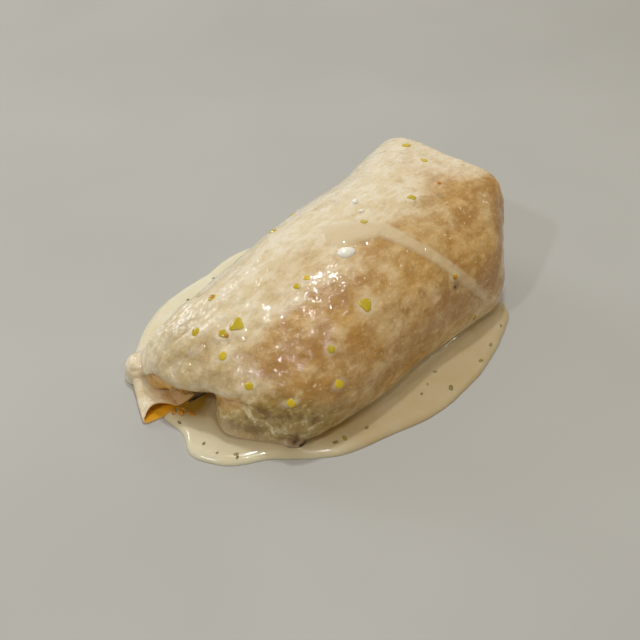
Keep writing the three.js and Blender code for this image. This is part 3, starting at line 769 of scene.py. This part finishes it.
def make_inner_layer():
    """A strip of sheet that hangs from inside the roll's lip, over the flap."""
    across, steps = 60, 24
    edge = shore_line(INNER_EDGE, across)
    outer, inner = [], []
    for depth, rows in ((0.0, outer), (1.0, inner)):
        for t in np.arange(steps) / (steps - 1):
            x = INNER_SLOPE * t**2 + depth * (1 - 0.3 * t)
            rows.append(edge + (x, 0.0, INNER_RISE * t + 0.15 * depth))
    obj = make_object("tortilla_inner_layer", *sheet_mesh(np.array(outer), np.array(inner)))
    points = points_of(obj)
    points[:, 0] += 0.25 * grain(points, 6, 15)
    points[:, 2] += 0.3 * grain(points, 6, 16)
    set_points(obj, points)
    # Painted shade: the strip is painted tan, brown and orange for the shadow under the lobe, more orange
    # towards low y by the fold's open end.
    mark_tortilla(obj, tan=0.9, brown=0.7, stain=0.35 + 0.5 * (1 - smoothstep(points[:, 1], 8, 17)))
    return obj


# ---- the sauce

def shore_line(shore, steps):
    """A smooth curve through the shore's points, evenly stepped."""
    shore = np.array(shore, float)
    ends = np.vstack([2 * shore[0] - shore[1], shore, 2 * shore[-1] - shore[-2]])
    t = np.linspace(0, len(shore) - 1, steps)
    i = np.minimum(t.astype(int), len(shore) - 2)
    f = (t - i)[:, None]
    a, b, c, d = ends[i], ends[i + 1], ends[i + 2], ends[i + 3]
    return 0.5 * (2 * b + (c - a) * f + (2 * a - 5 * b + 4 * c - d) * f**2 + (3 * b - a - 3 * c + d) * f**3)


def gaps_to(tree, points):
    """Distance of each point from a surface."""
    return np.array([tree.find_nearest(Vector(p))[3] for p in points.tolist()])


def make_pool(name, shore, steps, tree):
    """A flat pool from its shore inwards, a little higher where it meets the roll."""
    edge = shore_line(shore, steps)
    centre = np.column_stack([np.clip(edge[:, 0], AXIS_NEAR, AXIS_FAR), np.zeros(steps)])
    inward = centre - edge
    reach = np.linalg.norm(inward, axis=1)
    inward /= reach[:, None]
    ragged = 0.35 * grain(np.column_stack([edge, np.zeros(steps)]), 6, 9) + 0.4
    edge = edge + inward * ragged[:, None] * 0.8
    rim_steps, flat_steps = 14, 66
    rim = POOL_RIM * (1 - np.cos(np.linspace(0, np.pi / 2, rim_steps)))
    across = np.concatenate([rim, np.linspace(POOL_RIM, POOL_REACH, flat_steps)[1:]])
    offsets = np.minimum(across[None, :], reach[:, None] - 1)
    flat = edge[:, None, :] + inward[:, None, :] * offsets[:, :, None]
    part = np.minimum(offsets / POOL_RIM, 1)
    bank = np.clip((offsets - CLIMB_FROM) / CLIMB_WIDTH, 0, 1)
    height = POOL_DEPTH * np.sqrt(part * (2 - part)) + POOL_CLIMB * bank**2
    top = np.concatenate([flat, height[:, :, None]], 2)
    shape = top.shape
    top = top.reshape(-1, 3)
    wave = 0.25 * grain(top, 16, 10) + 0.1 * grain(top, 6, 11)
    top[:, 2] += wave * smoothstep(top[:, 2], 0.3, 1.8)
    top[:, 2] += 0.9 * np.exp(-gaps_to(tree, top) / 1.6) * smoothstep(top[:, 2], 0.3, 1.8)
    top = top.reshape(shape)
    bottom = top.copy()
    bottom[:, :, 2] = 0
    bottom[:, 0, :2] += inward * 0.12
    obj = make_object(name, *loft(np.concatenate([top, bottom[:, ::-1]], 1)))
    points = points_of(obj)
    x, y = points[:, 0], points[:, 1]
    # Painted shade on the pool: in the pocket, over its right side in the roll's shadow, and next to the
    # roll.
    pocket_shade = np.exp(-((np.hypot(x - POCKET[0], y - POCKET[1]) / POCKET_SIZE) ** 2))
    roll_shade = 0.56 * (y < 0) * smoothstep(x, -66, -40)
    roll_shade += 0.65 * np.exp(-gaps_to(tree, points) / 4) * (1 - smoothstep(x, -60, -20)) * (y < 10)
    mark(obj, "pool_shade", roll_shade + pocket_shade)
    return obj


# ---- the bits

def nearest(tree, point):
    """The spot on a surface nearest to a point, and the direction out of it."""
    at, out, _, _ = tree.find_nearest(Vector(point))
    return np.array(at), np.array(out)


def land(tree, x, degrees):
    """The same for a spot on the roll."""
    return nearest(tree, skin(np.array([x], float), np.array([degrees], float))[0])


def laid(points, out, spin):
    """Points of a flat piece turned onto a surface facing out, spun about it."""
    turn = Vector(out).to_track_quat("Z", "Y").to_matrix() @ Matrix.Rotation(spin, 3, "Z")
    return points @ np.array(turn).T


def lump_mesh(radii, seed, rough, cells=3):
    """An uneven ball, from an icosphere pushed about by noise."""
    work = bmesh.new()
    bmesh.ops.create_icosphere(work, subdivisions=cells, radius=1)
    points = np.array([v.co for v in work.verts])
    faces = [[v.index for v in f.verts] for f in work.faces]
    work.free()
    points = points * (1 + rough * grain(points, 0.9, seed))[:, None]
    return points * radii, faces


def chip_mesh(size, corners, draw, thick):
    """A flat cut chip: a polygon with rounded corners and a rounded rim."""
    around, rows = 32, 10
    facing = (np.arange(corners) + 0.4 * (draw.random(corners) - 0.5)) * 2 * np.pi / corners
    reach = size * (0.38 + 0.12 * draw.random(corners))
    angle = np.linspace(0, 2 * np.pi, around, endpoint=False)
    sides = np.clip(np.cos(angle[:, None] - facing) / reach, 0, None)
    sides = np.column_stack([sides, np.full(around, 1 / (0.6 * size))])
    outline = (sides**CHIP_CORNER).sum(1) ** (-1 / CHIP_CORNER)
    rings = []
    for k in range(1, rows):
        turn = math.pi * (k / rows - 0.5)
        far, z = outline * math.cos(turn) ** 0.4, thick * size / 2 * math.sin(turn)
        rings.append(np.stack([far * np.cos(angle), far * np.sin(angle), np.full(around, z)], 1))
    points, faces = loft(rings)
    points[-2, 2], points[-1, 2] = -thick * size / 2, thick * size / 2
    points[:, 2] += 0.05 * size * grain(points, size * 0.5, 3)
    return points, faces


def join_parts(name, parts):
    """One object from several meshes, each with its own tone."""
    points, faces, tones, start = [], [], [], 0
    for part_points, part_faces, tone in parts:
        points.append(part_points)
        faces += [[start + k for k in face] for face in part_faces]
        tones += [tone] * len(part_points)
        start += len(part_points)
    obj = make_object(name, np.vstack(points), faces)
    mark(obj, "tone", tones)
    mark(obj, "pool_shade", np.zeros(len(tones)))
    return obj


def make_bits(tree, pool, draw):
    """Bits of pepper, flat in the sauce on the roll, and crumbs in the fold's mouth."""
    parts = []
    for x, degrees, size in BITS:
        at, out = land(tree, x, degrees)
        big = size > 3
        corners = 3 if big else int(draw.integers(4, 7))
        points, faces = chip_mesh(size * 1.55, corners, draw, 0.2 if big else 0.24)
        points = laid(points, out, draw.random() * SPIN)
        parts.append((points + at - out * 0.06 * size, faces, draw.random() * 0.7))
    for x, degrees, size in ORANGE_BITS:
        at, out = land(tree, x, degrees)
        points, faces = chip_mesh(size, 5, draw, 0.4)
        points = laid(points, out, draw.random() * SPIN)
        parts.append((points + at + out * 0.08 * size, faces, 1.0))
    for x, y, size in CRUMBS:
        at, out = nearest(pool, (x, y, ABOVE_POOL))
        radii = np.array([size, 0.7 * size, 0.35 * size]) / 2
        points, faces = lump_mesh(radii, int(draw.integers(30)), 0.6)
        parts.append((laid(points, out, draw.random() * SPIN) + at, faces, 1.0))
    return join_parts("pepper_bits", parts)


def make_flecks(pools, draw):
    """Flecks of herb lying on the pools."""
    parts = []
    for tree, rows in pools:
        for x, y, size in rows:
            at, out = nearest(tree, (x, y, ABOVE_POOL))
            points, faces = chip_mesh(size, int(draw.integers(4, 6)), draw, 0.25)
            points = laid(points * (1, 0.6, 1), out, draw.random() * SPIN)
            parts.append((points + at + (0, 0, 0.05), faces, draw.random()))
    return join_parts("herb_flecks", parts)


def make_drops(tree):
    """Drops of white cream."""
    parts = []
    for index, (x, degrees, length, width, height) in enumerate(DROPS):
        at, out = land(tree, x, degrees)
        radii = np.array([length / 2, width / 2, height * 0.8])
        points, faces = lump_mesh(radii, 60 + index, 0.12, 4)
        parts.append((laid(points, out, 0.3) + at, faces, 0.5))
    return join_parts("cream_drops", parts)


# ---- materials

def srgb(red, green, blue):
    """A colour given as it looks on screen, in 0 to 255."""
    values = [v / 255 for v in (red, green, blue)]
    return tuple(v / 12.92 if v < 0.04045 else ((v + 0.055) / 1.055) ** 2.4 for v in values) + (1.0,)


class Look:
    """A material with one Principled shader and short ways to add nodes."""

    def __init__(self, name, **settings):
        self.material = bpy.data.materials.new(name)
        self.material.use_nodes = True
        self.tree = self.material.node_tree
        self.tree.nodes.clear()
        self.shader = self.node("BsdfPrincipled")
        output = self.node("OutputMaterial")
        self.tree.links.new(self.shader.outputs[0], output.inputs[0])
        self.where = self.node("TexCoord").outputs["Object"]
        for socket, value in settings.items():
            self.shader.inputs[socket.replace("_", " ")].default_value = value

    def node(self, kind):
        return self.tree.nodes.new("ShaderNode" + kind)

    def set(self, socket, value):
        """Links a node's output to a socket, or sets it to a value."""
        if isinstance(value, bpy.types.NodeSocket):
            self.tree.links.new(value, socket)
        else:
            socket.default_value = value

    def noise(self, size, detail=3.0, rough=0.5, warp=0.0, along=1.0):
        """Noise whose features are about that many millimetres across."""
        node = self.node("TexNoise")
        drawn = self.node("VectorMath")
        drawn.operation = "MULTIPLY"
        self.set(drawn.inputs[0], self.where)
        drawn.inputs[1].default_value = (1 / along, 1, 1)
        self.set(node.inputs["Vector"], drawn.outputs[0])
        node.inputs["Scale"].default_value = 1 / (size * MM)
        node.inputs["Detail"].default_value = detail
        node.inputs["Roughness"].default_value = rough
        node.inputs["Distortion"].default_value = warp
        return node.outputs["Fac"]

    def mask(self, name):
        """The mark of that name."""
        node = self.node("Attribute")
        node.attribute_name = name
        return node.outputs["Fac"]

    def math(self, operation, first, second=0.5, third=0.0):
        node = self.node("Math")
        node.operation = operation
        for socket, value in zip(node.inputs, (first, second, third)):
            self.set(socket, value)
        return node.outputs[0]

    def between(self, value, low, high, out_low=0.0, out_high=1.0):
        """Value mapped smoothly from low..high to out_low..out_high."""
        node = self.node("MapRange")
        node.interpolation_type = "SMOOTHSTEP"
        for socket, item in zip(node.inputs, (value, low, high, out_low, out_high)):
            self.set(socket, item)
        return node.outputs[0]

    def uneven(self, size, detail, low, high, rough=0.5):
        """A value that wanders between low and high."""
        return self.between(self.noise(size, detail, rough), 0.3, 0.7, low, high)

    def mix(self, share, first, second):
        node = self.node("Mix")
        node.data_type = "RGBA"
        self.set(node.inputs[0], share)
        self.set(node.inputs[6], first)
        self.set(node.inputs[7], second)
        return node.outputs[2]

    def bump(self, height, distance, strength=1.0):
        node = self.node("Bump")
        node.inputs["Strength"].default_value = strength
        node.inputs["Distance"].default_value = distance * MM
        self.set(node.inputs["Height"], height)
        return node.outputs[0]

    def use(self, **sockets):
        for name, value in sockets.items():
            self.set(self.shader.inputs[name.replace("_", " ")], value)
        return self.material


def tortilla_look():
    """Cream, tan and brown tortilla under sauce, thin and green or stained in places."""
    look = Look(
        "tortilla_wet", IOR=1.42, Subsurface_Weight=0.12, Subsurface_Scale=0.003,
        Specular_IOR_Level=0.12, Coat_Weight=1.0, Coat_Roughness=0.035, Coat_IOR=1.43,
        Subsurface_Radius=(1.0, 0.5, 0.2),
    )
    cloudy = look.noise(16, 5, 0.6, 0.2)
    mottle = look.noise(5, 6, 0.68, 0.15, 1.8)
    speck = look.noise(1.6, 5, 0.7, 0.1, 1.4)
    cream = look.mix(look.between(mottle, 0.38, 0.6), srgb(231, 222, 199), srgb(219, 202, 163))
    tan_share = look.math("MULTIPLY", look.mask("tan"), look.between(cloudy, 0.3, 0.6, 0.65, 1.0))
    tan = look.mix(look.between(mottle, 0.36, 0.66), srgb(212, 174, 112), srgb(184, 140, 72))
    colour = look.mix(tan_share, cream, tan)
    browned = look.math("MULTIPLY_ADD", look.mask("tan"), 0.35, look.mask("brown"))
    browned = look.math("MULTIPLY_ADD", browned, 0.2, look.noise(8, 5, 0.66, 0.25))
    colour = look.mix(look.between(browned, 0.52, 0.82, 0.0, 0.85), colour, srgb(166, 121, 62))
    blotch = look.noise(5.5, 6, 0.66, 0.2)
    thin = look.mix(look.between(blotch, 0.4, 0.54), srgb(116, 88, 30), srgb(164, 142, 80))
    thin = look.mix(look.between(blotch, 0.54, 0.66), thin, srgb(228, 220, 188))
    colour = look.mix(look.math("MULTIPLY", look.mask("green"), 0.85), colour, thin)
    colour = look.mix(look.between(speck, 0.54, 0.72, 0.0, 0.4), colour, srgb(182, 136, 66))
    colour = look.mix(look.between(speck, 0.44, 0.3, 0.0, 0.45), colour, srgb(240, 226, 190))
    # This orange: the fold's orange inside, made bright as partly painted bounce light, and painted shade in
    # creases, under the lobe, in the fold's mouth, on the inner layer and on the flap near the lip.
    colour = look.mix(look.mask("stain"), colour, srgb(224, 162, 36))
    # Char colour: the nub and burnt spots, and the painted shadow line under the lobe.
    colour = look.mix(look.mask("char"), colour, srgb(52, 20, 4))
    # The smear mark holds sauce smears and painted light: a whiter sheen on the lit upper left and the
    # whitened top of the flap.
    for name, least, most, sauce in (
        ("smear", 0.75, 0.45, srgb(238, 228, 208)),
        ("film", 0.95, 0.8, srgb(216, 198, 164)),
    ):
        share = look.math("MULTIPLY", look.mask(name), look.between(mottle, 0.4, 0.6, least, most))
        colour = look.mix(share, colour, sauce)
    height = look.math("MULTIPLY_ADD", look.noise(0.9, 3, 0.6), 0.4, look.noise(2.2, 3, 0.6))
    smoother = look.between(look.mask("film"), 0.2, 0.8, 1.0, 0.6)
    return look.use(
        Base_Color=colour,
        Roughness=look.uneven(2.2, 3, 0.3, 0.5, 0.6),
        Normal=look.bump(look.math("MULTIPLY", height, smoother), 0.35),
        Coat_Normal=look.bump(look.math("MULTIPLY", look.noise(1.9, 1, 0.5, 0.6), smoother), 0.33),
    )


def sauce_look(name, light, dark):
    """Sauce that is darker and yellower where painted shade is marked."""
    look = Look(
        name, IOR=1.4, Subsurface_Weight=0.3, Subsurface_Scale=0.004,
        Coat_Weight=0.6, Coat_Roughness=0.04, Subsurface_Radius=(1.0, 0.7, 0.35),
    )
    colour = look.mix(look.uneven(12, 3, 0.0, 1.0), light, dark)
    return look.use(
        # Painted shade: marked parts of the sauce turn towards this brown.
        Base_Color=look.mix(look.mask("pool_shade"), colour, srgb(154, 118, 40)),
        Roughness=look.uneven(5, 2, 0.14, 0.26),
        Normal=look.bump(look.noise(7, 2), 0.25, 0.5),
    )


def pepper_look():
    """Yellow-green flesh, and orange where the tone is high."""
    look = Look(
        "pepper_flesh", IOR=1.4, Subsurface_Weight=0.2, Subsurface_Scale=0.002,
        Coat_Weight=0.6, Coat_Roughness=0.06,
    )
    tone = look.mask("tone")
    colour = look.mix(look.between(tone, 0.0, 0.7), srgb(190, 166, 8), srgb(216, 188, 28))
    colour = look.mix(look.between(tone, 0.75, 0.95), colour, srgb(190, 122, 28))
    colour = look.mix(look.between(look.noise(0.8), 0.42, 0.7, 0.0, 0.4), colour, srgb(206, 188, 80))
    return look.use(
        Base_Color=colour,
        Roughness=look.uneven(0.9, 3, 0.2, 0.4),
        Normal=look.bump(look.noise(0.6), 0.1, 0.6),
    )


def herb_look():
    look = Look("herb_leaf", IOR=1.4, Coat_Weight=0.4, Coat_Roughness=0.1)
    colour = look.mix(look.mask("tone"), srgb(104, 98, 30), srgb(150, 134, 52))
    colour = look.mix(look.between(look.noise(0.7), 0.45, 0.7, 0.0, 0.6), colour, srgb(176, 160, 96))
    return look.use(
        Base_Color=colour,
        Roughness=look.uneven(0.8, 3, 0.35, 0.5),
        Normal=look.bump(look.noise(0.5), 0.1, 0.6),
    )


def floor_look():
    look = Look("floor_pale")
    colour = look.mix(look.uneven(160, 2, 0.0, 1.0), (0.44, 0.44, 0.43, 1), (0.47, 0.47, 0.46, 1))
    return look.use(Base_Color=colour, Roughness=look.uneven(60, 2, 0.55, 0.65))


# ---- the stage

# Lights: name, direction they shine from, distance and size in metres, power, colour.
LIGHTS = [
    ("key", (0.18, 0.2, 0.96), 1.1, 0.075, 3.5, (0.97, 0.98, 0.98)),
    ("key_near", (-0.05, -0.18, 0.97), 1.1, 0.065, 1.6, (0.96, 0.98, 1.0)),
    ("left", (-0.1, 0.9, 0.42), 1.1, 0.3, 2.1, (0.94, 0.98, 1.04)),
    ("near", (-0.72, 0.0, 0.7), 1.2, 0.07, 2.3, (0.96, 0.98, 1.0)),
    ("back", (0.55, 0.62, 0.3), 1.6, 1.4, 2.4, (0.98, 0.98, 1.0)),
    ("window", (-0.17, -0.66, 0.73), 1.2, 0.05, 0.8, (1.0, 0.95, 0.86)),
    ("rim", (0.72, -0.25, 0.6), 1.2, 0.03, 0.3, (1.0, 0.98, 0.94)),
]
LIT_HEIGHT = 0.03  # the lights point at this height, in metres
SKY, SKY_POWER = (1.0, 0.86, 0.6, 1), 0.34
FLOOR_HALF = 3.0


def make_light(name, direction, distance, size, power, colour):
    """A soft square light."""
    data = bpy.data.lights.new(name, "AREA")
    data.shape = "SQUARE"
    data.size = size
    data.energy = power
    data.color = colour
    light = add(name, data)
    way = Vector(direction).normalized()
    light.location = way * distance + Vector((0, 0, LIT_HEIGHT))
    light.rotation_euler = way.to_track_quat("Z", "Y").to_euler()


def make_stage():
    """The floor, the lights and the sky."""
    work = bmesh.new()
    bmesh.ops.create_grid(work, x_segments=8, y_segments=8, size=FLOOR_HALF)
    mesh = bpy.data.meshes.new("floor")
    work.to_mesh(mesh)
    work.free()
    floor = add("floor", mesh)
    floor.data.materials.append(floor_look())
    for light in LIGHTS:
        make_light(*light)
    world = bpy.data.worlds.new("studio")
    world.use_nodes = True
    sky = world.node_tree.nodes["Background"]
    sky.inputs[0].default_value = SKY
    sky.inputs[1].default_value = SKY_POWER
    bpy.context.scene.world = world
    bpy.context.scene.view_settings.view_transform = "Standard"


# ---- assembly

def tree_of(obj):
    """Nearest-point search over an object's surface, in millimetres."""
    faces = [tuple(face.vertices) for face in obj.data.polygons]
    return BVHTree.FromPolygons(points_of(obj).tolist(), faces)


def finish_piece(obj, material, node=None):
    """A piece's material and body, and the solid that it replaces."""
    obj.data.materials.clear()
    obj.data.materials.append(material)
    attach(obj, "root")
    if node:
        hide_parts(node)


def main():
    draw = np.random.default_rng(5)
    make_camera()
    make_stage()
    roll = make_tortilla()
    bring_relief(roll)
    tree = tree_of(roll)
    tortilla, pepper, herb = tortilla_look(), pepper_look(), herb_look()
    sauce = sauce_look("cream_sauce", srgb(228, 223, 200), srgb(224, 214, 184))
    cream = sauce_look("cream_white", srgb(250, 248, 240), srgb(246, 242, 230))
    for piece in (roll, make_flap(), make_inner_layer()):
        finish_piece(piece, tortilla, "tortilla")
    front = make_pool("sauce_front", FRONT_SHORE, 420, tree)
    back = make_pool("sauce_back", BACK_SHORE, 300, tree)
    finish_piece(front, sauce, "sauce_pool_front")
    finish_piece(back, sauce, "sauce_pool_back")
    flecks = make_flecks([(tree_of(front), FRONT_FLECKS), (tree_of(back), BACK_FLECKS)], draw)
    finish_piece(flecks, herb)
    finish_piece(make_bits(tree, tree_of(front), draw), pepper)
    finish_piece(make_drops(tree), cream)


main()
